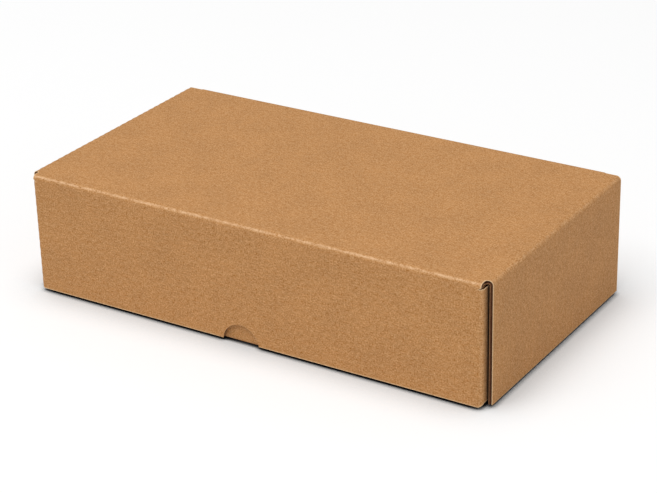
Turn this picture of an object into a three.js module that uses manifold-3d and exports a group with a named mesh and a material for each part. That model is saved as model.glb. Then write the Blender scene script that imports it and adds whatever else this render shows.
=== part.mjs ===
import * as THREE from "three";
import { mergeVertices } from "three/addons/utils/BufferGeometryUtils.js";
import Module from "manifold-3d";

const wasm = await Module();
wasm.setup();

// A die-cut mailer box of corrugated board, closed, in millimetres.
// The hinged lid is as deep as the tray and closes over its outside.
// +Z is up, the front faces -Y, and the origin is the middle of the bottom.

// Outside sizes of the closed box
const boxWidth = 350;
const boxDepth = 190;
const boxHeight = 86;

// Board and folds
const board = 2.5;
const foldInner = 0.5;
const foldSteps = 8;
const holeSteps = 48;

// Lid: walls, corner flaps and corner slots
const lidFloorGap = 1.8;
const lidCornerGap = 1.2;
const lidSideSetback = 6.8;
const lidRearSetback = 3;
const lidFlapLength = 55;
const lidFlapLift = 2.3;
const lidFlapDrop = 4;
const lidFlapChamfer = 14;
const reliefRadius = 1.8;

// Thumb notch in the lower edge of the lid's front wall
const thumbRadius = 14;
const thumbOffset = -5.5;
const thumbDrop = 1.8;

// Tray: clearances to the lid, corner flaps, and tabs of the rolled side walls
const frontClearance = 0.3;
const sideClearance = 0.4;
const lidHeadroom = 0.7;
const layerGap = 0.3;
const trayFlapLength = 70;
const trayFlapChamfer = 14;
const trayRearChamfer = 5;
const sideFrontSetback = 1.2;
const sideRearSetback = 1.5;
const tabLength = 40;
const tabSpacing = 96;
const tabRecess = 0.6;
const slotClearance = 0.4;

// Gap between the hinge fold and the back wall's top edge, which the fold turns clear of
const hingeClearance = 0.4;

// Lengths that reach past a face, so that joined pieces share material and cuts go through
const lap = 4;
const beyond = 1;

// Places worked out from the sizes above
const fold = foldInner + board;
const halfWidth = boxWidth / 2;
const halfDepth = boxDepth / 2;
const foldY = halfDepth - fold;
const foldZ = boxHeight - fold;
const lidRear = halfDepth - lidRearSetback;
const lidFlapFace = halfWidth - board - lidCornerGap;
const lidFoldX = lidFlapFace - fold;
const reliefX = halfWidth - fold;
const reliefY = lidSideSetback - reliefRadius - halfDepth;
const trayHalf = lidFlapFace - board - sideClearance;
const trayFront = board + frontClearance - halfDepth;
const trayTop = boxHeight - board - lidHeadroom;
const trayFoldX = trayHalf - board - layerGap - fold;
const rollWidth = 3 * board + 2 * layerGap;
const innerX = trayHalf - rollWidth;

// Moves that describe a section of the board
const straight = (length) => ({ length });
const bend = (degrees) => ({ degrees });

// Section of the board: its outer face follows the moves, turning left, and the board lies on the left.
function boardSection(x, y, headingDegrees, moves) {
  let heading = THREE.MathUtils.degToRad(headingDegrees);
  const outer = [];
  const inner = [];
  const addPoint = () => {
    outer.push(new THREE.Vector2(x, y));
    inner.push(new THREE.Vector2(x - board * Math.sin(heading), y + board * Math.cos(heading)));
  };
  addPoint();
  for (const move of moves) {
    if (move.degrees === undefined) {
      x += move.length * Math.cos(heading);
      y += move.length * Math.sin(heading);
      addPoint();
      continue;
    }
    const centreX = x - fold * Math.sin(heading);
    const centreY = y + fold * Math.cos(heading);
    const steps = Math.ceil((foldSteps * move.degrees) / 90);
    for (let step = 0; step < steps; step++) {
      heading += THREE.MathUtils.degToRad(move.degrees / steps);
      x = centreX + fold * Math.sin(heading);
      y = centreY - fold * Math.cos(heading);
      addPoint();
    }
  }
  return new THREE.Shape([...outer, ...inner.reverse()]);
}

// The same outline turned over left to right or front to back, and moved
function placed(shape, flipX, flipY, moveX = 0, moveY = 0) {
  const points = shape.getPoints();
  return new THREE.Shape(points.map((p) => new THREE.Vector2(flipX * p.x + moveX, flipY * p.y + moveY)));
}

// Turns a closed geometry into a solid for joining and cutting
function solid(geometry) {
  geometry.deleteAttribute("normal");
  geometry.deleteAttribute("uv");
  const merged = mergeVertices(geometry);
  return new wasm.Manifold(
    new wasm.Mesh({
      numProp: 3,
      vertProperties: new Float32Array(merged.attributes.position.array),
      triVerts: new Uint32Array(merged.index.array),
    }),
  );
}

function extruded(shape, from, to) {
  const geometry = new THREE.ExtrudeGeometry(shape, { depth: to - from, bevelEnabled: false });
  return geometry.translate(0, 0, from);
}

// Outline in Y and Z, carried along X
function alongX(shape, from, to) {
  const axes = new THREE.Matrix4().makeBasis(
    new THREE.Vector3(0, 1, 0),
    new THREE.Vector3(0, 0, 1),
    new THREE.Vector3(1, 0, 0),
  );
  return solid(extruded(shape, from, to).applyMatrix4(axes));
}

// Outline in X and Z, carried along Y
function alongY(shape, from, to) {
  const axes = new THREE.Matrix4().makeBasis(
    new THREE.Vector3(1, 0, 0),
    new THREE.Vector3(0, 0, 1),
    new THREE.Vector3(0, -1, 0),
  );
  return solid(extruded(shape, -to, -from).applyMatrix4(axes));
}

// Outline in X and Y, carried along Z
function alongZ(shape, from, to) {
  return solid(extruded(shape, from, to));
}

function polygon(points) {
  return new THREE.Shape(points.map(([x, y]) => new THREE.Vector2(x, y)));
}

function block(x0, x1, y0, y1, z0, z1) {
  const geometry = new THREE.BoxGeometry(x1 - x0, y1 - y0, z1 - z0);
  geometry.translate((x0 + x1) / 2, (y0 + y1) / 2, (z0 + z1) / 2);
  return solid(geometry);
}

// The block that lies on the left (side -1) or the right (side 1) of the box
function sideBlock(side, x0, x1, y0, y1, z0, z1) {
  return block(Math.min(side * x0, side * x1), Math.max(side * x0, side * x1), y0, y1, z0, z1);
}

function rod(radius, axis, length, x, y, z) {
  const geometry = new THREE.CylinderGeometry(radius, radius, length, holeSteps);
  if (axis === "z") geometry.rotateX(Math.PI / 2);
  return solid(geometry.translate(x, y, z));
}

function joined(solids) {
  return solids.reduce((sum, next) => sum.add(next));
}

function cutBy(body, tools) {
  return tools.reduce((rest, tool) => rest.subtract(tool), body);
}

// A corner fold with the flap behind it, its free corners cut off at 45 degrees.
// The fold's centre is at centreX, centreY; end is 1 for a flap on the front wall and -1 on the back wall.
function cornerFlap(side, end, centreX, centreY, length, chamfer, bottom, top) {
  const section = boardSection(-lap, -fold, 0, [straight(lap), bend(90), straight(length)]);
  const flap = alongZ(placed(section, side, end, side * centreX, centreY), bottom, top);
  const tip = centreY + end * length;
  const corner = (z, up) => {
    const outline = [
      [tip + end * beyond, z - up * beyond],
      [tip + end * beyond, z + up * (chamfer + beyond)],
      [tip - end * (chamfer + beyond), z - up * beyond],
    ];
    const x = side * centreX;
    return alongX(polygon(outline), x - 2 * fold, x + 2 * fold);
  };
  return cutBy(flap, [corner(bottom, 1), corner(top, -1)]);
}

// Hinge fold, top panel and front wall of the lid
function lidPanel() {
  const section = boardSection(halfDepth, foldZ, 90, [
    bend(90),
    straight(boxDepth - 2 * fold),
    bend(90),
    straight(foldZ - lidFloorGap),
  ]);
  const reach = halfWidth - fold;
  const panel = alongX(section, -reach, reach);
  const cuts = [];
  for (const side of [-1, 1]) {
    const frontEnd = [lidFoldX, halfWidth, -halfDepth - beyond, fold - halfDepth, -beyond, foldZ];
    const rearEar = [trayFoldX, halfWidth, lidRear, halfDepth + beyond, -beyond, boxHeight + beyond];
    cuts.push(sideBlock(side, ...frontEnd));
    cuts.push(sideBlock(side, ...rearEar));
  }
  return cutBy(panel, cuts);
}

// Side wall of the lid with its fold into the top panel
function lidSideWall(side) {
  const section = boardSection(halfWidth, lidFloorGap, 90, [
    straight(foldZ - lidFloorGap),
    bend(90),
    straight(lap),
  ]);
  return alongY(placed(section, side, 1), lidSideSetback - halfDepth, lidRear);
}

function lidCornerFlap(side) {
  const bottom = lidFloorGap + lidFlapLift;
  const top = boxHeight - lidFlapDrop;
  const centreY = fold - halfDepth;
  return cornerFlap(side, 1, lidFoldX, centreY, lidFlapLength, lidFlapChamfer, bottom, top);
}

// Rounded end of a corner slot in the top panel, between the front fold and the side wall's edge
function cornerRelief(side) {
  const bottom = boxHeight - lidFlapDrop;
  const top = boxHeight + beyond;
  const hole = rod(reliefRadius, "z", top - bottom, side * reliefX, reliefY, (top + bottom) / 2);
  const mouth = [reliefX - reliefRadius, halfWidth + beyond, -halfDepth - beyond, reliefY, bottom, top];
  return hole.add(sideBlock(side, ...mouth));
}

function thumbNotch() {
  const length = 2 * (board + beyond);
  return rod(thumbRadius, "y", length, thumbOffset, -halfDepth, lidFloorGap - thumbDrop);
}

function lid() {
  const sides = [-1, 1];
  const body = joined([lidPanel(), ...sides.map(lidSideWall), ...sides.map(lidCornerFlap)]);
  return cutBy(body, [...sides.map(cornerRelief), thumbNotch()]);
}

// Front wall, base and back wall of the tray
function trayPanel() {
  const section = boardSection(trayFront, trayTop, -90, [
    straight(trayTop - fold),
    bend(90),
    straight(halfDepth - trayFront - 2 * fold),
    bend(90),
    straight(foldZ - fold - hingeClearance),
  ]);
  const walls = alongX(section, -trayFoldX, trayFoldX);
  const reach = trayHalf - fold;
  const base = block(-reach, reach, trayFront + fold, halfDepth - fold, 0, board);
  return walls.add(base);
}

function trayCornerFlap(side, end) {
  const bottom = fold + layerGap;
  const front = end === 1;
  const centreY = front ? trayFront + fold : foldY;
  const top = trayTop - layerGap - (front ? board : trayRearChamfer);
  return cornerFlap(side, end, trayFoldX, centreY, trayFlapLength, trayFlapChamfer, bottom, top);
}

// Side wall rolled over the corner flaps: outer layer, top edge and inner layer
function rolledWall(side) {
  const start = trayFoldX + layerGap;
  const section = boardSection(start, 0, 0, [
    straight(trayHalf - fold - start),
    bend(90),
    straight(trayTop - 2 * fold),
    bend(90),
    straight(rollWidth - 2 * fold),
    bend(90),
    straight(trayTop - fold - board - layerGap),
  ]);
  const wall = alongY(placed(section, side, 1), trayFront + sideFrontSetback, halfDepth - sideRearSetback);
  const innerEdge = trayHalf - board - layerGap / 2;
  const aboveBase = board + layerGap / 2;
  const front = [innerX - lap, innerEdge, trayFront - beyond, trayFront + board + layerGap];
  const rear = [innerX - lap, innerEdge, halfDepth - board - layerGap, halfDepth + beyond];
  const chamfer = polygon([
    [halfDepth + beyond, boxHeight],
    [halfDepth + beyond, trayTop - trayRearChamfer - beyond],
    [halfDepth - trayRearChamfer - beyond, trayTop + beyond],
    [halfDepth - trayRearChamfer - beyond, boxHeight],
  ]);
  return cutBy(wall, [
    sideBlock(side, ...front, aboveBase, boxHeight),
    sideBlock(side, ...rear, aboveBase, boxHeight),
    alongX(chamfer, -boxWidth, boxWidth),
  ]);
}

function tabPlaces() {
  const middle = (trayFront + halfDepth) / 2;
  return [middle - tabSpacing / 2, middle + tabSpacing / 2];
}

// Tab under the inner layer, which stands in a slot of the base
function lockingTab(side, y) {
  const top = board + 2 * layerGap;
  return sideBlock(side, innerX, innerX + board, y - tabLength / 2, y + tabLength / 2, tabRecess, top);
}

function tabSlot(side, y) {
  const x0 = innerX - slotClearance;
  const x1 = innerX + board + slotClearance;
  const reach = tabLength / 2 + slotClearance;
  return sideBlock(side, x0, x1, y - reach, y + reach, -beyond, board + layerGap / 2);
}

function tray() {
  const sides = [-1, 1];
  const pieces = [trayPanel(), ...sides.map(rolledWall)];
  const slots = [];
  const tabs = [];
  for (const side of sides) {
    pieces.push(trayCornerFlap(side, 1), trayCornerFlap(side, -1));
    for (const y of tabPlaces()) {
      slots.push(tabSlot(side, y));
      tabs.push(lockingTab(side, y));
    }
  }
  return joined([cutBy(joined(pieces), slots), ...tabs]);
}

function namedMesh(name, body, material) {
  const { vertProperties, triVerts } = body.getMesh();
  const geometry = new THREE.BufferGeometry();
  geometry.setAttribute("position", new THREE.BufferAttribute(vertProperties, 3));
  geometry.setIndex(new THREE.BufferAttribute(triVerts, 1));
  const faceted = geometry.toNonIndexed();
  faceted.computeVertexNormals();
  const mesh = new THREE.Mesh(faceted, material);
  mesh.name = name;
  return mesh;
}

const outsideKraft = new THREE.MeshStandardMaterial({ color: 0xc3935f, roughness: 0.88, metalness: 0 });
const insideKraft = new THREE.MeshStandardMaterial({ color: 0xb98a58, roughness: 0.9, metalness: 0 });

const mailerBox = new THREE.Group();
mailerBox.add(namedMesh("tray", tray(), insideKraft));
mailerBox.add(namedMesh("lid", lid(), outsideKraft));

export default mailerBox;
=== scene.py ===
import math
import bpy
import numpy as np
from mathutils import Matrix, Vector


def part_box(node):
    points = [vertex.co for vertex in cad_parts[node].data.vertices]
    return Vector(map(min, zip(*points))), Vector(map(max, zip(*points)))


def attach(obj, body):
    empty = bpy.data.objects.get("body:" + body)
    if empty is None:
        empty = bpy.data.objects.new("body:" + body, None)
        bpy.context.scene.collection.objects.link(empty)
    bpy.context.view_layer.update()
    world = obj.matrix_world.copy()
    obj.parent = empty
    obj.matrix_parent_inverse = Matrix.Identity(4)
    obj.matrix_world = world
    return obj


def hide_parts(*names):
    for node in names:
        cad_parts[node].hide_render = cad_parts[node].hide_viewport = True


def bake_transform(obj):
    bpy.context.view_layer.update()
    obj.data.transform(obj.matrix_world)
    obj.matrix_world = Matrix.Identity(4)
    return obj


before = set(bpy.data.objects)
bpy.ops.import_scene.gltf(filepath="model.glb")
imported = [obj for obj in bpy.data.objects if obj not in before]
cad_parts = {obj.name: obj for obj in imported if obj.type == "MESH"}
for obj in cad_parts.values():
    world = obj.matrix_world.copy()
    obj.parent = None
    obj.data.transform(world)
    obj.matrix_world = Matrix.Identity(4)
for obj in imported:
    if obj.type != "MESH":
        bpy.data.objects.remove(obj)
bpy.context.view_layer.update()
mm = 0.001

# Size of the closed box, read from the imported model
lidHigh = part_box("lid")[1]
trayLow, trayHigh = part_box("tray")
halfWidth, halfDepth, height = lidHigh.x, lidHigh.y, lidHigh.z

near = 1e-7           # metres within which two places count as one
weldStep = 2e-6       # metres between the steps that places are rounded to where patches join
weldShift = 0.2357    # share of a step that keeps round values off the steps' borders

# Corrugated board: two liners over a waved middle sheet, and the folds that it takes
boardValues = {
    "thickness": 2.5 * mm,
    "liner": 0.36 * mm,
    "medium": 0.24 * mm,
    "flutePitch": 6.5 * mm,
    "foldInner": 0.5 * mm,
    "foldSteps": 10,
    "washboard": 0.012 * mm,     # how far the flutes show through flat liners
    "scallop": 0.22 * mm,        # how far they show in folds that run across them
    "wearAndHighlightStrip": 0.4 * mm,       # width of the cells beside an edge with wear and a painted highlight
}
board = boardValues["thickness"]
fold = boardValues["foldInner"] + board
foldArc = fold * math.pi / 2

print("stage 1: frame loaded, box", round(2 * halfWidth, 4), round(2 * halfDepth, 4), round(height, 4))


# Path of the board's outer face in a plane: straight runs through given distances, and folds to the left.
# The board lies on the left of the path. A fold is an arc of radius fold.
def boardPath(start, heading, moves):
    angle = math.radians(heading)
    place = np.array(start, float)
    points, normals, lengths, bends = [place[None]], [], [np.zeros(1)], [np.zeros(1)]
    normals.append(np.array([[math.sin(angle), -math.cos(angle)]]))
    total = 0.0
    for kind, value in moves:
        if kind == "run":
            steps = np.asarray(value, float)
            along = np.array([math.cos(angle), math.sin(angle)])
            points.append(place + steps[:, None] * along)
            normals.append(np.repeat([[math.sin(angle), -math.cos(angle)]], len(steps), 0))
            lengths.append(total + steps)
            bends.append(np.zeros(len(steps)))
            total += steps[-1]
        else:
            turn = np.linspace(0, math.radians(value), boardValues["foldSteps"] + 1)[1:]
            centre = place + fold * np.array([-math.sin(angle), math.cos(angle)])
            out = np.stack([np.sin(angle + turn), -np.cos(angle + turn)], 1)
            points.append(centre + fold * out)
            normals.append(out)
            lengths.append(total + fold * turn)
            bends.append(np.sin(math.pi * turn / turn[-1]))
            total += fold * turn[-1]
            angle += math.radians(value)
        place = points[-1][-1]
    return [np.concatenate(part) for part in (points, normals, lengths, bends)]


# Even distances from 0 to length, without the 0, no further apart than step
def evenly(length, step):
    return np.linspace(0, length, max(2, int(math.ceil(length / step)) + 1))[1:]


# Coordinates of a patch, each spread over its whole grid
def spread(shape, *parts):
    return np.stack([np.broadcast_to(part, shape) for part in parts], -1)


# Whitened paper along a fold, partly a painted highlight: strength * bend ^ power, where bend is highest in
# the middle of the fold
def foldCrease(bends, strength, power):
    return strength * bends[:, None] ** power


# A grid of points on the sheet's outer face with their normals, their places on the flat blank, their wear
# with a painted edge highlight, their fold whitening with a painted fold highlight, and their scallop.
# Cells where keep is false are left open.
def blankPatch(points, normals, blank, wear=None, crease=None, scallop=None, keep=None):
    shape = points.shape[:2]
    zeros = np.zeros(shape)
    return {
        "points": points,
        "normals": np.broadcast_to(normals, points.shape),
        "blank": blank,
        "wear": zeros.copy() if wear is None else wear,
        "crease": zeros if crease is None else np.broadcast_to(crease, shape),
        "scallop": zeros if scallop is None else np.broadcast_to(scallop, shape),
        "keep": np.ones((shape[0] - 1, shape[1] - 1), bool) if keep is None else keep,
    }


# The same patch on the other side of the box
def mirrored(patch):
    flip = np.array([-1.0, 1.0, 1.0])
    turned = dict(patch)
    turned["points"] = patch["points"] * flip
    turned["normals"] = patch["normals"] * flip
    turned["blank"] = patch["blank"] * flip[:2]
    return turned


# Corner indices of a patch's cells, turned so that the face looks along the stored normals
def patchFaces(patch, offset):
    rows, columns = patch["points"].shape[:2]
    index = offset + np.arange(rows * columns).reshape(rows, columns)
    cells = np.stack([index[:-1, :-1], index[1:, :-1], index[1:, 1:], index[:-1, 1:]], -1)
    p = patch["points"]
    down = p[1:, :-1] - p[:-1, :-1]
    across = p[:-1, 1:] - p[:-1, :-1]
    facing = (np.cross(down, across) * patch["normals"][:-1, :-1]).sum(-1)
    if np.median(np.sign(facing[patch["keep"]])) < 0:
        cells = cells[..., ::-1]
    return cells[patch["keep"]]


# Joins the patches of one sheet: points that coincide become one
def joinPatches(patches):
    faces, offset = [], 0
    for patch in patches:
        faces.append(patchFaces(patch, offset))
        offset += patch["points"].shape[0] * patch["points"].shape[1]
    flat = {name: np.concatenate([p[name].reshape(-1, *p[name].shape[2:]) for p in patches])
            for name in ("points", "normals", "blank", "wear", "crease", "scallop")}
    keys = np.floor(flat["points"] / weldStep + weldShift).astype(np.int64)
    first, inverse = np.unique(keys, axis=0, return_index=True, return_inverse=True)[1:]
    inverse = inverse.reshape(-1)
    sheet = {name: flat[name][first] for name in ("points", "normals", "blank")}
    for name in ("wear", "crease", "scallop"):
        most = np.zeros(len(first))
        np.maximum.at(most, inverse, flat[name])
        sheet[name] = most
    sheet["faces"] = inverse[np.concatenate(faces)]
    used = np.unique(sheet["faces"])
    renumber = np.full(len(first), -1)
    renumber[used] = np.arange(len(used))
    sheet["faces"] = renumber[sheet["faces"]]
    for name in ("points", "normals", "blank", "wear", "crease", "scallop"):
        sheet[name] = sheet[name][used]
    return sheet


# One layer of the board as a closed shell: the sheet's outer face moved inwards by top and by bottom,
# point by point along the normals, with a rim along every free edge.
def layerMesh(name, sheet, top, bottom, materials):
    points, normals, faces = sheet["points"], sheet["normals"], sheet["faces"]
    count = len(points)
    upper = points - normals * top[:, None]
    lower = points - normals * bottom[:, None]
    begin = faces.reshape(-1)
    end = np.roll(faces, -1, axis=1).reshape(-1)
    free = ~np.isin(begin * count + end, end * count + begin)
    a, b = begin[free], end[free]
    rim = np.stack([b, a, a + count, b + count], 1)
    quads = np.concatenate([faces, faces[:, ::-1] + count, rim])
    slots = np.repeat([0, 1, 2], [len(faces), len(faces), len(rim)])
    mesh = bpy.data.meshes.new(name)
    vertices = np.concatenate([upper, lower])
    mesh.vertices.add(len(vertices))
    mesh.vertices.foreach_set("co", vertices.astype(np.float32).ravel())
    mesh.loops.add(quads.size)
    mesh.loops.foreach_set("vertex_index", quads.astype(np.int32).ravel())
    mesh.polygons.add(len(quads))
    mesh.polygons.foreach_set("loop_start", np.arange(0, quads.size, 4, dtype=np.int32))
    mesh.polygons.foreach_set("material_index", slots.astype(np.int32))
    mesh.update(calc_edges=True)
    mesh.polygons.foreach_set("use_smooth", np.ones(len(quads), bool))
    sharp = np.concatenate([np.minimum(a, b) * 2 * count + np.maximum(a, b),
                            (np.minimum(a, b) + count) * 2 * count + np.maximum(a, b) + count])
    ends = np.zeros(len(mesh.edges) * 2, np.int32)
    mesh.edges.foreach_get("vertices", ends)
    ends = np.sort(ends.reshape(-1, 2).astype(np.int64), axis=1)
    marks = np.isin(ends[:, 0] * 2 * count + ends[:, 1], sharp)
    mesh.attributes.new("sharp_edge", "BOOLEAN", "EDGE").data.foreach_set("value", marks)
    uvLayer = mesh.uv_layers.new(name="blank")
    uvLayer.data.foreach_set("uv", sheet["blank"][quads.reshape(-1) % count].astype(np.float32).ravel())
    for attribute in ("wear", "crease"):
        values = np.concatenate([sheet[attribute]] * 2).astype(np.float32)
        mesh.attributes.new(attribute, "FLOAT", "POINT").data.foreach_set("value", values)
    for material in materials:
        mesh.materials.append(material)
    mesh.validate()
    piece = bpy.data.objects.new(name, mesh)
    bpy.context.scene.collection.objects.link(piece)
    return piece


# Outer liner, waved middle sheet and inner liner of a sheet.
# The wave's depth is a sine of the distance across the flutes; the liners follow it very faintly.
def layeredBoard(name, sheet, materials):
    v = boardValues
    wave = 2 * math.pi * sheet["blank"][:, 1] / v["flutePitch"]
    dent = (v["washboard"] + v["scallop"] * sheet["scallop"]) * (0.5 - 0.5 * np.sin(wave))
    inner = v["washboard"] * (0.5 + 0.5 * np.sin(wave))
    liner = np.full(len(wave), v["liner"])
    swing = board / 2 - v["liner"] - v["medium"] / 2 - 2 * v["washboard"]
    middle = board / 2 + swing * np.sin(wave)
    middle = np.maximum(middle, liner + dent + v["medium"] / 2)
    outerLiner = layerMesh(name + "OuterLiner", sheet, dent, dent + liner, materials["outside"])
    flutes = layerMesh(name + "Flutes", sheet, middle - v["medium"] / 2, middle + v["medium"] / 2,
                       materials["flutes"])
    innerLiner = layerMesh(name + "InnerLiner", sheet, board - liner - inner, board - inner,
                           materials["inside"])
    return [outerLiner, flutes, innerLiner]


# Lid sizes
lidValues = {
    "floorGap": 1.8 * mm,
    "cornerGap": 1.2 * mm,
    "sideSetback": 6.8 * mm,
    "flapLength": 55 * mm,
    "flapLift": 2.3 * mm,
    "flapDrop": 4 * mm,
    "flapChamfer": 14 * mm,
    "reliefRadius": 1.8 * mm,
    "thumbRadius": 14 * mm,
    "thumbOffset": -5.5 * mm,
    "thumbDrop": 1.8 * mm,
    "thumbWindow": 22 * mm,      # half width of the denser patch round the notch
    "windowTop": 10 * mm,        # of that patch above the notch
    "cellsPerFlute": 8,
    "edgeStep": 0.5 * mm,        # between rows beside the corner slots
    "reliefSteps": 6,
    "thumbColumns": 22,
    "sideColumns": 17,
    "sideInset": 6 * mm,         # of the even columns from the corner fold
    "hingeInset": 1 * mm,        # of the even columns from the hinge's end, which has wear and a painted highlight
    "endShares": (0.35, 0.7, 0.88, 1.0),     # columns from the hinge's end to the panel's edge
    "thumbRings": (0, 0.06, 0.13, 0.25, 0.4, 0.6, 0.8, 1.0),
    "thumbWearAndHighlight": 0.2,
    "sideRows": 8,
    # The front fold's crease is the strongest: whitened paper and a painted highlight where the fold faces
    # the lamp
    "frontCrease": (1.0, 7),     # strength and power
    "sideCrease": (0.25, 4),
}
foldY, foldZ = halfDepth - fold, height - fold
lidFoldX = halfWidth - board - lidValues["cornerGap"] - fold
reliefX = halfWidth - fold
reliefY = lidValues["sideSetback"] - lidValues["reliefRadius"] - halfDepth
trayHalf = trayHigh.x
trayValues = {
    "layerGap": 0.3 * mm,
    "flapLength": 70 * mm,
    "flapChamfer": 14 * mm,
    "rearChamfer": 5 * mm,
    "frontSetback": 1.2 * mm,
    "rearSetback": 1.5 * mm,
    "tabLength": 40 * mm,
    "tabSpacing": 96 * mm,
    "tabRecess": 0.6 * mm,
    "slotClearance": 0.4 * mm,
    "cellsPerFlute": 6,
    "columnStep": 9 * mm,
    "topStrip": 6 * mm,          # below the rolled wall's top, on the inside
    "panelCrease": (0.3, 2),
    "rollCrease": (0.25, 2),
}
trayFoldX = trayHalf - board - trayValues["layerGap"] - fold


# Width in X of the corner slot's rounded end at depth y: half a chord of its circle
def reliefReach(y):
    return np.sqrt(np.maximum(lidValues["reliefRadius"] ** 2 - np.maximum(y - reliefY, 0) ** 2, 0))


# Rows of the lid's top panel from the hinge to the corner slots
def topRows():
    step = boardValues["flutePitch"] / lidValues["cellsPerFlute"]
    holeRear = reliefY + lidValues["reliefRadius"]
    straightRows = np.concatenate([[0.0], evenly(foldY - holeRear, step)])
    return foldY - straightRows, holeRear


# Front wall, front fold and top panel of the lid, as one surface: rows down the path, columns along X.
# The outermost columns follow the corner slots and the ends of the front wall.
def lidPanel():
    v = lidValues
    rear, holeRear = topRows()
    holeRows = reliefY + v["reliefRadius"] * np.cos(np.linspace(0, math.pi / 2, v["reliefSteps"] + 1)[1:])
    runTop = np.concatenate([foldY - rear[1:], foldY - holeRows,
                             foldY - reliefY + evenly(foldY + reliefY, v["edgeStep"])])
    flapTop = height - v["flapDrop"]
    step = boardValues["flutePitch"] / v["cellsPerFlute"]
    wallRun = np.concatenate([evenly(foldZ - flapTop, v["edgeStep"]),
                              foldZ - flapTop + evenly(flapTop - v["floorGap"], step)])
    moves = [("run", runTop), ("bend", 90), ("run", wallRun)]
    path, out, length, bends = boardPath((foldY, height), 180, moves)
    y, z = path[:, 0], path[:, 1]

    reach = reliefX - np.where(y > holeRear - near, 0, reliefReach(y))
    taper = np.clip((z - flapTop) / (foldZ - flapTop), 0, 1)
    reach = lidFoldX + (reach - lidFoldX) * taper

    window = np.linspace(-v["thumbWindow"], v["thumbWindow"], v["thumbColumns"] + 1) + v["thumbOffset"]
    fixed = lidFoldX - v["sideInset"]
    leftPart = np.linspace(-fixed, window[0], v["sideColumns"] + 1)[:-1]
    rightPart = np.linspace(window[-1], fixed, v["sideColumns"] + 1)[1:]
    hingeEnd = np.array([trayFoldX - boardValues["wearAndHighlightStrip"], trayFoldX])
    inner = np.concatenate([leftPart, window, rightPart])
    inner = inner[np.abs(inner) < hingeEnd[0] - v["hingeInset"]]
    inner = np.unique(np.concatenate([inner, hingeEnd, -hingeEnd]))
    ends = trayFoldX + (reach[:, None] - trayFoldX) * np.array(v["endShares"])
    x = np.concatenate([-ends[:, ::-1], np.broadcast_to(inner, (len(y), len(inner))), ends], 1)

    points = spread(x.shape, x, y[:, None], z[:, None])
    normals = spread(x.shape, 0.0, out[:, :1], out[:, 1:])
    blank = spread(x.shape, x, -length[:, None])
    wear = np.zeros(x.shape)
    wear[-1] = 1
    wear[0, np.abs(x[0]) > trayFoldX + near] = 1
    atHole = (y < holeRear - near) & (z > flapTop + near)
    wear[atHole, 0] = 1
    wear[atHole, -1] = 1
    keep = np.ones((len(y) - 1, x.shape[1] - 1), bool)

    left = int(np.argmin(np.abs(x[-1] - window[0])))
    right = int(np.argmin(np.abs(x[-1] - window[-1])))
    top = int(np.argmin(np.abs(z - v["thumbRadius"] - v["windowTop"]) + (np.abs(y + halfDepth) > near)))
    keep[top:, left:right] = False
    panel = blankPatch(points, normals, blank, wear, foldCrease(bends, *v["frontCrease"]), None, keep)
    return panel, thumbPatch(panel, top, left, right), wallRows(panel, flapTop)


# The panel's rows below the top of the corner flaps, which the vertical folds share
def wallRows(panel, flapTop):
    z = panel["points"][:, 0, 2]
    y = panel["points"][:, 0, 1]
    rows = np.nonzero((z <= flapTop + near) & (np.abs(y + halfDepth) < near))[0]
    return z[rows], panel["blank"][rows, 0, 1]


# Surface between the thumb notch and the window round it: rays from the circle to the window's edge
def thumbPatch(panel, top, left, right):
    v = lidValues

    def frameOf(values):
        return np.concatenate([values[:top:-1, left], values[top, left:right], values[top:, right]])

    edge = frameOf(panel["points"])
    edgeBlank = frameOf(panel["blank"])
    centre = np.array([v["thumbOffset"], v["floorGap"] - v["thumbDrop"]])
    bearing = np.arctan2(edge[:, 2] - centre[1], edge[:, 0] - centre[0])
    rise = math.asin((v["floorGap"] - centre[1]) / v["thumbRadius"])
    share = (bearing[0] - bearing) / (bearing[0] - bearing[-1])
    angle = (math.pi - rise) + share * (2 * rise - math.pi)
    arc = np.stack([centre[0] + v["thumbRadius"] * np.cos(angle), edge[:, 1],
                    centre[1] + v["thumbRadius"] * np.sin(angle)], 1)
    arcBlank = edgeBlank + np.stack([arc[:, 0] - edge[:, 0], arc[:, 2] - edge[:, 2]], 1)
    out = np.array(v["thumbRings"])
    points = arc[:, None] + (edge - arc)[:, None] * out[None, :, None]
    blank = arcBlank[:, None] + (edgeBlank - arcBlank)[:, None] * out[None, :, None]
    wear = np.zeros(points.shape[:2])
    wear[:, 0] = v["thumbWearAndHighlight"]
    wear[0] = 1
    wear[-1] = 1
    return blankPatch(points, np.array([0.0, -1.0, 0.0]), blank, wear)


# Side wall of the lid with its fold: rows up the path, columns along Y, shared with the top panel
def lidSide():
    v = lidValues
    y = topRows()[0]
    wall = foldZ - v["floorGap"]
    edgeWearAndHighlight = boardValues["wearAndHighlightStrip"]
    up = np.concatenate([[edgeWearAndHighlight, 2 * edgeWearAndHighlight], np.linspace(2 * edgeWearAndHighlight, wall, v["sideRows"] + 1)[1:]])
    path, out, length, bends = boardPath((halfWidth, v["floorGap"]), 90, [("run", up), ("bend", 90)])
    shape = (len(path), len(y))
    points = spread(shape, path[:, :1], y, path[:, 1:])
    normals = spread(shape, out[:, :1], 0.0, out[:, 1:])
    around = reliefX + length[-1] - length
    blank = spread(shape, around[:, None], y - foldY)
    wear = np.zeros(shape)
    wear[0] = 1
    wear[:, 0] = 1
    wear[:, -1] = 1
    return blankPatch(points, normals, blank, wear, foldCrease(bends, *v["sideCrease"]), bends[:, None])


# Corner flaps of lid and tray
flapValues = {
    "rowStep": 10 * mm,
    "tipStep": 4 * mm,           # where the corners are cut off
    "liftPower": 1.5,            # of the lower edge's rise over the fold
    "crease": (0.2, 2),
    "scallop": 0.5,
}


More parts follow.
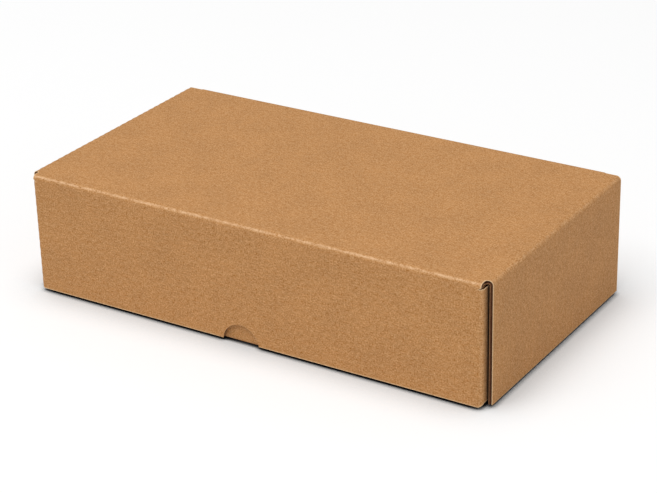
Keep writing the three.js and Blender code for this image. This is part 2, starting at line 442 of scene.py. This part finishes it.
# Vertical fold and flap behind it: rows along the path, columns down the wall.
# The lower edge rises over the fold, and the flap's free corners are cut off.
def cornerPatch(centre, end, length, chamfer, wallZ, wallBlank, topZ, lift):
    v = flapValues
    runOut = np.concatenate([evenly(length - chamfer, v["rowStep"]),
                             length - chamfer + evenly(chamfer, v["tipStep"])])
    path, out, along, bends = boardPath((0.0, -fold), 0, [("bend", 90), ("run", runOut)])
    across = (wallZ[0] - wallZ) / (wallZ[0] - wallZ[-1])
    toTip = np.clip((along - (along[-1] - chamfer)) / chamfer, 0, 1) * chamfer
    rise = lift * np.clip(along / foldArc, 0, 1) ** v["liftPower"]
    high = topZ - toTip
    low = wallZ[-1] + rise + toTip
    z = high[:, None] + across[None] * (low - high)[:, None]
    points = spread(z.shape, centre[0] + path[:, :1], centre[1] + end * path[:, 1:], z)
    normals = spread(z.shape, out[:, :1], end * out[:, 1:], 0.0)
    rows = wallBlank[0] + (wallZ[0] - z) * np.sign(wallBlank[-1] - wallBlank[0])
    blank = spread(z.shape, centre[0] + along[:, None], rows)
    wear = np.zeros(z.shape)
    wear[:, 0] = 1
    wear[:, -1] = 1
    wear[-1] = 1
    return blankPatch(points, normals, blank, wear, foldCrease(bends, *v["crease"]),
                      v["scallop"] * bends[:, None])


# The whole lid as one sheet
def lidSheet():
    v = lidValues
    panel, thumb, (wallZ, wallBlank) = lidPanel()
    side = lidSide()
    centre = (lidFoldX, -foldY)
    flap = cornerPatch(centre, 1, v["flapLength"], v["flapChamfer"], wallZ, wallBlank, wallZ[0],
                       v["flapLift"])
    return joinPatches([panel, thumb, side, mirrored(side), flap, mirrored(flap)])


# Tray sizes
trayFront, trayTop = trayLow.y, trayHigh.z
rollWidth = 3 * board + 2 * trayValues["layerGap"]
innerX = trayHalf - rollWidth


# Values from the first mark to the last, through every mark, no further apart than step
def through(marks, step):
    marks = sorted(marks)
    parts = [np.array([marks[0]])]
    for low, high in zip(marks[:-1], marks[1:]):
        parts.append(low + evenly(high - low, step))
    return np.concatenate(parts)


# Middles of the two tabs of a side wall, in Y
def tabMiddles():
    middle = (trayFront + halfDepth) / 2
    return middle - trayValues["tabSpacing"] / 2, middle + trayValues["tabSpacing"] / 2


# Front and rear ends of the rolled wall's inner layer, and of the base between its folds
def innerEnds():
    gap = board + trayValues["layerGap"]
    return trayFront + gap, halfDepth - gap


# Rows of the base, through the ends of the slots and of the tabs
def baseRows():
    v = trayValues
    front, rear = trayFront + fold, foldY
    innerFront, innerRear = innerEnds()
    marks = [front, rear]
    for middle in tabMiddles():
        slotReach = v["tabLength"] / 2 + v["slotClearance"]
        marks += [middle - slotReach, middle + slotReach]
        for edge in (middle - v["tabLength"] / 2, middle + v["tabLength"] / 2):
            share = (edge - innerFront) / (innerRear - innerFront)
            marks.append(front + share * (rear - front))
    return through(marks, boardValues["flutePitch"] / v["cellsPerFlute"])


# Which cells between rows at y lie in a tab slot
def slotCells(y):
    middle = (y[:-1] + y[1:]) / 2
    reach = trayValues["tabLength"] / 2 + trayValues["slotClearance"]
    return np.any([np.abs(middle - tab) < reach for tab in tabMiddles()], axis=0)


# Front wall, base and back wall of the tray, with the strips of base beside the slots
def trayPanel():
    v = trayValues
    step = boardValues["flutePitch"] / v["cellsPerFlute"]
    low = fold + v["layerGap"]
    frontTop = trayTop - v["layerGap"] - board
    rearTop = trayTop - v["layerGap"] - v["rearChamfer"]
    frontZ = through([trayTop, frontTop, low, fold], step)[::-1]
    rearZ = through([fold, low, rearTop, foldZ], step)
    rows = baseRows()
    moves = [("run", trayTop - frontZ[1:]), ("bend", 90), ("run", rows[1:] - rows[0]), ("bend", 90),
             ("run", rearZ[1:] - fold)]
    path, out, length, bends = boardPath((trayFront, trayTop), -90, moves)
    slotX = innerX - v["slotClearance"]
    x = through([-trayFoldX, -slotX, slotX, trayFoldX], v["columnStep"])
    shape = (len(path), len(x))
    points = spread(shape, x, path[:, :1], path[:, 1:])
    normals = spread(shape, 0.0, out[:, :1], out[:, 1:])
    around = foldArc + length[-1] - length
    blank = spread(shape, x, around[:, None])
    level = (path[:, 1] < near) & (path[:, 0] > rows[0] - near) & (path[:, 0] < rows[-1] + near)
    onBase = np.nonzero(level)[0]
    keep = np.ones((shape[0] - 1, shape[1] - 1), bool)
    inSlot = np.zeros(shape[0] - 1, bool)
    inSlot[onBase[:-1]] = slotCells(rows)
    besideSlot = (x[:-1] > slotX - near) | (x[1:] < -slotX + near)
    keep[inSlot[:, None] & besideSlot[None]] = False
    wear = np.zeros(shape)
    wear[0] = 1
    panel = blankPatch(points, normals, blank, wear, foldCrease(bends, *v["panelCrease"]), None, keep)

    stripX = np.array([trayFoldX, innerX + board + v["slotClearance"], trayHalf - fold])
    stripShape = (len(rows), 3)
    stripPoints = spread(stripShape, stripX, rows[:, None], 0.0)
    stripBlank = spread(stripShape, stripX, around[onBase][:, None])
    stripKeep = np.ones((len(rows) - 1, 2), bool)
    stripKeep[slotCells(rows), 0] = False
    strip = blankPatch(stripPoints, np.array([0.0, 0.0, -1.0]), stripBlank, None, None, None, stripKeep)

    z, y = path[:, 1], path[:, 0]
    front = np.nonzero((np.abs(y - trayFront) < near) & (z > low - near) & (z < frontTop + near))[0]
    rear = np.nonzero((np.abs(y - halfDepth) < near) & (z > low - near) & (z < rearTop + near))[0][::-1]
    return panel, strip, (z[front], around[front]), (z[rear], around[rear]), (rows, around[onBase])


# Side wall rolled over the corner flaps: columns run up the outer layer, over the top and down inside.
# Its ends in Y change from layer to layer, and its rear top corner is cut off at 45 degrees.
def rolledSide(rows, rowBlank):
    v = trayValues
    innerFront, innerRear = innerEnds()
    cornerSum = halfDepth + trayTop - v["rearChamfer"]
    chamferZ = cornerSum - (halfDepth - v["rearSetback"])
    up = through([0, chamferZ - fold, trayTop - 2 * fold], v["columnStep"])[1:]
    down = through([0, v["topStrip"], trayTop - fold - board - v["layerGap"],
                    trayTop - fold - v["tabRecess"]], v["columnStep"])[1:]
    moves = [("bend", 90), ("run", up), ("bend", 90), ("run", [rollWidth - 2 * fold]), ("bend", 90),
             ("run", down)]
    path, out, length, bends = boardPath((trayHalf - fold, 0), 0, moves)
    x, z = path[:, 0], path[:, 1]
    fromBase = np.clip(length / foldArc, 0, 1)
    toInner = np.clip((trayHalf - x) / fold, 0, 1) * (z > trayTop / 2) + 1.0 * (x < innerX + near)
    toInner = np.clip(toInner, 0, 1)
    frontEnd = rows[0] + (trayFront + v["frontSetback"] - rows[0]) * fromBase
    frontEnd = frontEnd + (innerFront - frontEnd) * toInner
    rearEnd = rows[-1] + (halfDepth - v["rearSetback"] - rows[-1]) * fromBase
    rearEnd = np.minimum(rearEnd + (innerRear - rearEnd) * toInner, cornerSum - z)
    share = (rows - rows[0]) / (rows[-1] - rows[0])
    y = frontEnd[:, None] + share[None] * (rearEnd - frontEnd)[:, None]
    points = spread(y.shape, x[:, None], y, z[:, None])
    normals = spread(y.shape, out[:, :1], 0.0, out[:, 1:])
    along = trayHalf - fold + length[:, None]
    blank = spread(y.shape, along, rowBlank[0] + (rows[0] - y))
    wear = np.zeros(y.shape)
    wear[:, 0] = 1
    wear[:, -1] = 1
    wear[-1] = 1
    keep = np.ones((y.shape[0] - 1, y.shape[1] - 1), bool)
    middle = (y[-1, :-1] + y[-1, 1:]) / 2
    inTab = np.any([np.abs(middle - tab) < v["tabLength"] / 2 for tab in tabMiddles()], axis=0)
    keep[-1, ~inTab] = False
    crease = foldCrease(bends, *v["rollCrease"])
    return blankPatch(points, normals, blank, wear, crease, bends[:, None], keep)


# The whole tray as one sheet
def traySheet():
    v = trayValues
    panel, strip, frontRows, rearRows, (rows, rowBlank) = trayPanel()
    side = rolledSide(rows, rowBlank)
    front = cornerPatch((trayFoldX, trayFront + fold), 1, v["flapLength"], v["flapChamfer"],
                        frontRows[0], frontRows[1], frontRows[0][0], 0.0)
    rear = cornerPatch((trayFoldX, foldY), -1, v["flapLength"], v["flapChamfer"],
                       rearRows[0], rearRows[1], rearRows[0][0], 0.0)
    patches = [panel]
    for patch in (strip, side, front, rear):
        patches += [patch, mirrored(patch)]
    return joinPatches(patches)


hingeValues = {
    "crease": (0.4, 2),
    "linerMargin": 0.04 * mm,    # past the outer liner's inner face
    "fluteMargin": 0.02 * mm,    # past the waved sheet's inner face
}


# The fold between the tray's back wall and the lid's top panel
def hingeSheet():
    path, out, length, bends = boardPath((halfDepth, foldZ), 90, [("bend", 90)])
    edgeWearAndHighlight = trayFoldX - boardValues["wearAndHighlightStrip"]
    x = through([-trayFoldX, -edgeWearAndHighlight, edgeWearAndHighlight, trayFoldX], trayValues["columnStep"])
    shape = (len(path), len(x))
    points = spread(shape, x, path[:, :1], path[:, 1:])
    normals = spread(shape, 0.0, out[:, :1], out[:, 1:])
    blank = spread(shape, x, (foldArc - length)[:, None])
    wear = np.zeros(shape)
    wear[:, 0] = 1
    wear[:, -1] = 1
    crease = foldCrease(bends, *hingeValues["crease"])
    return joinPatches([blankPatch(points, normals, blank, wear, crease)])


# Kraft paper. Scales are per metre of the flat blank, and pairs are a factor and what is added to it.
paperValues = {
    "mottleScale": 38.0,
    "streakScale": (140.0, 800.0),
    "grainScale": 330.0,
    "speckleScale": 1000.0,
    "fleckScale": 700.0,
    "fleckFrom": 0.68,
    "fleckDepth": 6.0,
    "unevenWearAndHighlight": (1.2, 0.4),
    "patchyCrease": (2.6, -1.7),
    "roughness": (0.16, 0.74),
    "streakHeight": 0.5,
    "specular": 0.45,
    "bumpDistance": 0.12 * mm,
    # Reach and power of the painted shade in the gaps of the outer paper
    "paintedShadeReach": 10 * mm,
    "paintedShadePower": 0.7,
    "shadeSamples": 8,
}


# Math node whose inputs are numbers or sockets
def mathNode(nodes, links, operation, a, b, c=None, clamp=False):
    node = nodes.new("ShaderNodeMath")
    node.operation = operation
    node.use_clamp = clamp
    for socket, value in zip(node.inputs, (a, b, c)):
        if isinstance(value, (int, float)):
            socket.default_value = value
        elif value is not None:
            links.new(value, socket)
    return node.outputs[0]


# Paper's colour: Color * (1 + Mottle * cloud + Streak * streaks - Flecks * specks) + Grain Color * (Grain *
# grain + Speckle * speckle), mixed with Worn Color by the edge mask * Worn (wear and a painted highlight)
# and with Crease Color by the fold mask * Crease (whitening and a painted highlight).
def paperGroup():
    v = paperValues
    group = bpy.data.node_groups.new("kraftPaper", "ShaderNodeTree")
    inputs = [("Color", "NodeSocketColor", (0.5, 0.25, 0.1, 1)), ("Mottle", "NodeSocketFloat", 0.1),
              ("Streak", "NodeSocketFloat", 0.1), ("Grain", "NodeSocketFloat", 0.1),
              ("Speckle", "NodeSocketFloat", 0.1), ("Grain Color", "NodeSocketColor", (0.5, 0.3, 0.15, 1)),
              ("Flecks", "NodeSocketFloat", 0.3), ("Worn Color", "NodeSocketColor", (0.7, 0.45, 0.25, 1)),
              ("Worn", "NodeSocketFloat", 0.5), ("Crease Color", "NodeSocketColor", (0.75, 0.5, 0.3, 1)),
              ("Crease", "NodeSocketFloat", 1.0)]
    for name, kind, value in inputs:
        group.interface.new_socket(name, in_out="INPUT", socket_type=kind).default_value = value
    for name, kind in (("Color", "NodeSocketColor"), ("Roughness", "NodeSocketFloat"),
                       ("Height", "NodeSocketFloat")):
        group.interface.new_socket(name, in_out="OUTPUT", socket_type=kind)
    nodes, links = group.nodes, group.links
    given = nodes.new("NodeGroupInput")
    result = nodes.new("NodeGroupOutput")
    blank = nodes.new("ShaderNodeUVMap")
    blank.uv_map = "blank"

    def noise(scale, detail, stretch=None):
        texture = nodes.new("ShaderNodeTexNoise")
        texture.inputs["Scale"].default_value = scale
        texture.inputs["Detail"].default_value = detail
        source = blank.outputs["UV"]
        if stretch is not None:
            mapping = nodes.new("ShaderNodeMapping")
            mapping.inputs["Scale"].default_value = (*stretch, 1)
            links.new(source, mapping.inputs["Vector"])
            source = mapping.outputs["Vector"]
        links.new(source, texture.inputs["Vector"])
        return texture.outputs[0]

    def calculate(operation, a, b, c=None):
        return mathNode(nodes, links, operation, a, b, c)

    def mixed(factor, a, b):
        node = nodes.new("ShaderNodeMix")
        node.data_type = "RGBA"
        links.new(factor, node.inputs["Factor"])
        links.new(a, node.inputs["A"])
        links.new(b, node.inputs["B"])
        return node.outputs["Result"]

    def attribute(name):
        node = nodes.new("ShaderNodeAttribute")
        node.attribute_name = name
        return node.outputs["Fac"]

    mottle = noise(v["mottleScale"], 3.0)
    streak = noise(1.0, 2.0, v["streakScale"])
    grain = noise(v["grainScale"], 1.0)
    speckle = noise(v["speckleScale"], 2.0)
    fleck = noise(v["fleckScale"], 0.0)
    level = calculate("MULTIPLY_ADD", calculate("SUBTRACT", mottle, 0.5), given.outputs["Mottle"], 1.0)
    level = calculate("MULTIPLY_ADD", calculate("SUBTRACT", streak, 0.5), given.outputs["Streak"], level)
    grains = calculate("MULTIPLY", calculate("SUBTRACT", grain, 0.5), given.outputs["Grain"])
    fine = calculate("SUBTRACT", speckle, 0.5)
    grains = calculate("MULTIPLY_ADD", fine, given.outputs["Speckle"], grains)
    dark = calculate("MAXIMUM", calculate("SUBTRACT", fleck, v["fleckFrom"]), 0.0)
    dark = calculate("MULTIPLY", dark, given.outputs["Flecks"])
    level = calculate("SUBTRACT", level, calculate("MULTIPLY", dark, v["fleckDepth"]))
    scaled = nodes.new("ShaderNodeVectorMath")
    scaled.operation = "SCALE"
    links.new(given.outputs["Color"], scaled.inputs[0])
    links.new(level, scaled.inputs["Scale"])
    grainy = nodes.new("ShaderNodeVectorMath")
    grainy.operation = "MULTIPLY_ADD"
    links.new(given.outputs["Grain Color"], grainy.inputs[0])
    links.new(grains, grainy.inputs[1])
    links.new(scaled.outputs["Vector"], grainy.inputs[2])

    # Wear with its painted edge highlight, and whitened folds with their painted highlight, fade in and out
    # with the speckle and the grain
    uneven = calculate("MULTIPLY_ADD", speckle, *v["unevenWearAndHighlight"])
    edgeWearAndHighlight = calculate("MULTIPLY", calculate("MULTIPLY", attribute("wear"), given.outputs["Worn"]), uneven)
    patchy = calculate("MULTIPLY_ADD", calculate("ADD", speckle, grain), *v["patchyCrease"])
    foldWhiteAndHighlight = calculate("MULTIPLY", attribute("crease"), given.outputs["Crease"])
    foldWhiteAndHighlight = calculate("MULTIPLY", foldWhiteAndHighlight, patchy)
    color = mixed(calculate("MINIMUM", edgeWearAndHighlight, 1.0), grainy.outputs["Vector"], given.outputs["Worn Color"])
    color = mixed(calculate("MINIMUM", foldWhiteAndHighlight, 1.0), color, given.outputs["Crease Color"])
    rough = calculate("MULTIPLY_ADD", speckle, *v["roughness"])
    links.new(color, result.inputs["Color"])
    links.new(rough, result.inputs["Roughness"])
    links.new(calculate("MULTIPLY_ADD", streak, v["streakHeight"], speckle), result.inputs["Height"])
    return group


# One paper: the group's outputs in a Principled BSDF, with its height as relief and, where given, painted
# shade in its gaps
def paperMaterial(name, group, values, bump, paintedShade):
    material = bpy.data.materials.new(name)
    material.use_nodes = True
    nodes, links = material.node_tree.nodes, material.node_tree.links
    shader = nodes["Principled BSDF"]
    paper = nodes.new("ShaderNodeGroup")
    paper.node_tree = group
    for socket, value in values.items():
        paper.inputs[socket].default_value = value
    relief = nodes.new("ShaderNodeBump")
    relief.inputs["Strength"].default_value = bump
    relief.inputs["Distance"].default_value = paperValues["bumpDistance"]
    links.new(paper.outputs["Height"], relief.inputs["Height"])
    color = paper.outputs["Color"]
    # Painted shade darkens the paper where the sheet hides its own surround
    if paintedShade:
        color = paintedGapShade(nodes, links, color, paintedShade)
    links.new(color, shader.inputs["Base Color"])
    links.new(paper.outputs["Roughness"], shader.inputs["Roughness"])
    links.new(relief.outputs["Normal"], shader.inputs["Normal"])
    shader.inputs["Specular IOR Level"].default_value = paperValues["specular"]
    return material


# Share of the surround that is hidden within reach, by the same object only or by all
def hiddenShare(nodes, links, reach, sameObject):
    around = nodes.new("ShaderNodeAmbientOcclusion")
    around.only_local = sameObject
    around.samples = paperValues["shadeSamples"]
    around.inputs["Distance"].default_value = reach
    return mathNode(nodes, links, "SUBTRACT", 1.0, around.outputs["AO"])


# Painted shade: the paper's colour is darkened in the narrow gap between a wall and the flap behind it. It
# is multiplied by
# 1 - strength * hidden ^ power, where hidden is the share of the surround that the sheet itself covers
def paintedGapShade(nodes, links, color, paintedShade):
    hidden = hiddenShare(nodes, links, paperValues["paintedShadeReach"], True)
    bent = mathNode(nodes, links, "POWER", hidden, paperValues["paintedShadePower"])
    left = mathNode(nodes, links, "MULTIPLY_ADD", bent, -paintedShade, 1.0, clamp=True)
    dimmed = nodes.new("ShaderNodeVectorMath")
    dimmed.operation = "SCALE"
    links.new(color, dimmed.inputs[0])
    links.new(left, dimmed.inputs["Scale"])
    return dimmed.outputs["Vector"]


# For each paper: the group's inputs, the strength of its relief and the depth of the painted shade in its
# gaps
# Worn Color and Crease Color are lighter paper: real wear and whitening, and painted highlights on lit
# edges and folds
paperLooks = {
    "kraftOutside": ({"Color": (0.524, 0.257, 0.090, 1), "Mottle": 0.22, "Streak": 0.32,
                      "Grain": 0.4, "Speckle": 1.5, "Grain Color": (0.41, 0.33, 0.21, 1), "Flecks": 0.1,
                      "Worn Color": (0.86, 0.60, 0.34, 1),
                      "Worn": 0.8, "Crease Color": (0.78, 0.49, 0.27, 1), "Crease": 0.7}, 0.4, 1.3),
    "kraftInside": ({"Color": (0.490, 0.240, 0.090, 1), "Mottle": 0.22, "Streak": 0.32,
                     "Grain": 0.4, "Speckle": 1.5, "Grain Color": (0.38, 0.30, 0.19, 1), "Flecks": 0.1,
                     "Worn Color": (0.62, 0.36, 0.17, 1), "Worn": 0.35,
                     "Crease Color": (0.66, 0.38, 0.18, 1), "Crease": 0.5}, 0.4, 0.0),
    # The waved middle sheet is coloured far darker than paper: painted shade inside the board's cut edges
    "kraftFlutes": ({"Color": (0.130, 0.047, 0.016, 1), "Mottle": 0.1, "Streak": 0.1, "Speckle": 0.25,
                     "Flecks": 0.3, "Worn": 0.0, "Crease": 0.0}, 0.5, 0.0),
    "kraftCutEdge": ({"Color": (0.360, 0.180, 0.075, 1), "Mottle": 0.2, "Streak": 0.1, "Speckle": 0.4,
                      "Flecks": 0.3, "Worn": 0.0, "Crease": 0.0}, 0.8, 0.0),
    # The outer liner's cut edges take the light Worn Color: wear and a painted highlight along the edges
    "kraftLinerEdge": ({"Color": (0.360, 0.180, 0.075, 1), "Mottle": 0.2, "Streak": 0.1, "Speckle": 0.4,
                        "Flecks": 0.3, "Worn Color": (0.86, 0.60, 0.34, 1), "Worn": 0.9,
                        "Crease": 0.0}, 0.5, 0.0),
}

group = paperGroup()
papers = {name: paperMaterial(name, group, *look) for name, look in paperLooks.items()}
outerPapers = [papers["kraftOutside"], papers["kraftInside"], papers["kraftLinerEdge"]]
innerPapers = [papers["kraftInside"], papers["kraftInside"], papers["kraftCutEdge"]]
flutePapers = [papers["kraftFlutes"], papers["kraftFlutes"], papers["kraftFlutes"]]
layerPapers = {"outside": outerPapers, "inside": innerPapers, "flutes": flutePapers}
print("stage 2: paper materials made")

lidPieces = layeredBoard("lid", lidSheet(), layerPapers)
trayPieces = layeredBoard("tray", traySheet(), layerPapers)
hingePieces = layeredBoard("hinge", hingeSheet(), layerPapers)
for piece in lidPieces:
    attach(piece, "lid")
for piece in trayPieces:
    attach(piece, "tray")
layerDepths = (boardValues["liner"] + hingeValues["linerMargin"],
               board - boardValues["liner"] + hingeValues["fluteMargin"], board)
for piece, depth in zip(hingePieces, layerDepths):
    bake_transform(piece)
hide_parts("lid")
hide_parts("tray")
for piece in lidPieces + trayPieces + hingePieces:
    print("  ", piece.name, len(piece.data.polygons), "faces")
print("stage 3: board of lid, tray and hinge made")


# White floor. For the camera, part of its white is a painted glow, which lightens the box's real shadow,
# and both turn to a painted contact shadow colour by contactDepth * closeness ^ contactPower + edgeDepth *
# nearness. Closeness and nearness are the shares of the surround that are hidden within contactReach and
# edgeReach.
floorValues = {
    "reach": 6.0,
    "color": 0.8,
    "seenColor": 0.6,
    "paintedGlow": 0.42,
    "paintedShadowColor": (0.012, 0.015, 0.018),
    "contactReach": 35 * mm,
    "contactPower": 1.5,
    "contactDepth": 1.0,
    "edgeReach": 4 * mm,
    "edgeDepth": 1.15,
}


# A square sheet that reaches reach metres each way
def makeFloor():
    v = floorValues
    r = v["reach"]
    mesh = bpy.data.meshes.new("floor")
    mesh.from_pydata([(-r, -r, 0), (r, -r, 0), (r, r, 0), (-r, r, 0)], [], [(0, 1, 2, 3)])
    floor = bpy.data.objects.new("floor", mesh)
    bpy.context.scene.collection.objects.link(floor)
    material = bpy.data.materials.new("floorWhite")
    material.use_nodes = True
    nodes, links = material.node_tree.nodes, material.node_tree.links
    shader = nodes["Principled BSDF"]
    shader.inputs["Roughness"].default_value = 1.0
    shader.inputs["Specular IOR Level"].default_value = 0.0
    rays = nodes.new("ShaderNodeLightPath")
    shade = nodes.new("ShaderNodeMix")
    shade.data_type = "RGBA"
    links.new(rays.outputs["Is Camera Ray"], shade.inputs["Factor"])
    shade.inputs["A"].default_value = (v["color"],) * 3 + (1,)
    # Painted contact shadow: the floor darkens where the box hides its surround
    closeness = hiddenShare(nodes, links, v["contactReach"], False)
    close = mathNode(nodes, links, "POWER", closeness, v["contactPower"])
    wide = mathNode(nodes, links, "MULTIPLY", close, v["contactDepth"])
    nearness = hiddenShare(nodes, links, v["edgeReach"], False)
    share = mathNode(nodes, links, "MULTIPLY_ADD", nearness, v["edgeDepth"], wide, clamp=True)
    contact = nodes.new("ShaderNodeMix")
    contact.data_type = "RGBA"
    links.new(share, contact.inputs["Factor"])
    contact.inputs["A"].default_value = (v["seenColor"],) * 3 + (1,)
    contact.inputs["B"].default_value = (*v["paintedShadowColor"], 1)
    links.new(contact.outputs["Result"], shade.inputs["B"])
    dimmed = mathNode(nodes, links, "MULTIPLY_ADD", share, -v["paintedGlow"], v["paintedGlow"])
    paintedGlow = mathNode(nodes, links, "MULTIPLY", rays.outputs["Is Camera Ray"], dimmed)
    links.new(shade.outputs["Result"], shader.inputs["Base Color"])
    shader.inputs["Emission Color"].default_value = (1, 1, 1, 1)
    links.new(paintedGlow, shader.inputs["Emission Strength"])
    mesh.materials.append(material)


makeFloor()

# Studio light: an even surround, a wide lamp above the front left and a weak one on the right
lightValues = {
    "surround": 0.45,
    "seenBackground": 1.0,
    "keyPlace": (-0.45, -1.65, 4.07),
    "keySize": 3.6,
    "keyPower": 132.0,
    "fillPlace": (1.9, -0.5, 0.75),
    "fillSize": 1.2,
    "fillPower": 3.4,
    "fillColor": (1.0, 1.0, 1.0),
    "keyColor": (1.0, 1.0, 1.0),
}


# The surround and two square lamps that face the box's middle
def makeLight():
    v = lightValues
    world = bpy.data.worlds.new("studio")
    bpy.context.scene.world = world
    world.use_nodes = True
    nodes, links = world.node_tree.nodes, world.node_tree.links
    background = nodes["Background"]
    rays = nodes.new("ShaderNodeLightPath")
    strength = nodes.new("ShaderNodeMix")
    links.new(rays.outputs["Is Camera Ray"], strength.inputs["Factor"])
    strength.inputs["A"].default_value = v["surround"]
    strength.inputs["B"].default_value = v["seenBackground"]
    background.inputs["Color"].default_value = (1, 1, 1, 1)
    links.new(strength.outputs["Result"], background.inputs["Strength"])
    for name in ("key", "fill"):
        lamp = bpy.data.lights.new(name, "AREA")
        lamp.size = v[name + "Size"]
        lamp.energy = v[name + "Power"]
        lamp.color = v[name + "Color"]
        holder = bpy.data.objects.new(name, lamp)
        bpy.context.scene.collection.objects.link(holder)
        place = Vector(v[name + "Place"])
        aim = Vector((0, 0, height / 2)) - place
        holder.matrix_world = Matrix.Translation(place) @ aim.to_track_quat("-Z", "Y").to_matrix().to_4x4()


makeLight()
print("stage 4: floor and light made")

# Camera of the photograph: bearing from the front, height angle and tilt in degrees, distance in metres,
# lens in pixels of a picture 657 wide, and how far the box's middle stands off the picture's middle
cameraValues = {
    "bearing": 32.54,
    "elevation": 25.18,
    "tilt": -1.495,
    "distance": 1.39706,
    "offset": (-0.002982, 0.0093135),
    "lens": 2067.4,
    "pictureWidth": 657.0,
    "sensorWidth": 36.0,
}


# The camera looks along forward, from distance behind the box's middle, and is shifted by the offset
def makeCamera():
    v = cameraValues
    a, e, tilt = (math.radians(v[name]) for name in ("bearing", "elevation", "tilt"))
    forward = Vector((-math.sin(a) * math.cos(e), math.cos(a) * math.cos(e), -math.sin(e)))
    level = forward.cross(Vector((0, 0, 1))).normalized()
    upright = level.cross(forward)
    right = math.cos(tilt) * level + math.sin(tilt) * upright
    up = math.cos(tilt) * upright - math.sin(tilt) * level
    centre = Vector((0, 0, height / 2))
    place = centre - v["offset"][0] * right - v["offset"][1] * up - v["distance"] * forward
    data = bpy.data.cameras.new("camera")
    data.sensor_width = v["sensorWidth"]
    data.lens = v["lens"] / v["pictureWidth"] * data.sensor_width
    camera = bpy.data.objects.new("camera", data)
    bpy.context.scene.collection.objects.link(camera)
    turned = Matrix((right, up, -forward)).transposed().to_4x4()
    camera.matrix_world = Matrix.Translation(place) @ turned
    bpy.context.scene.camera = camera


makeCamera()
bpy.context.scene.view_settings.view_transform = "Standard"
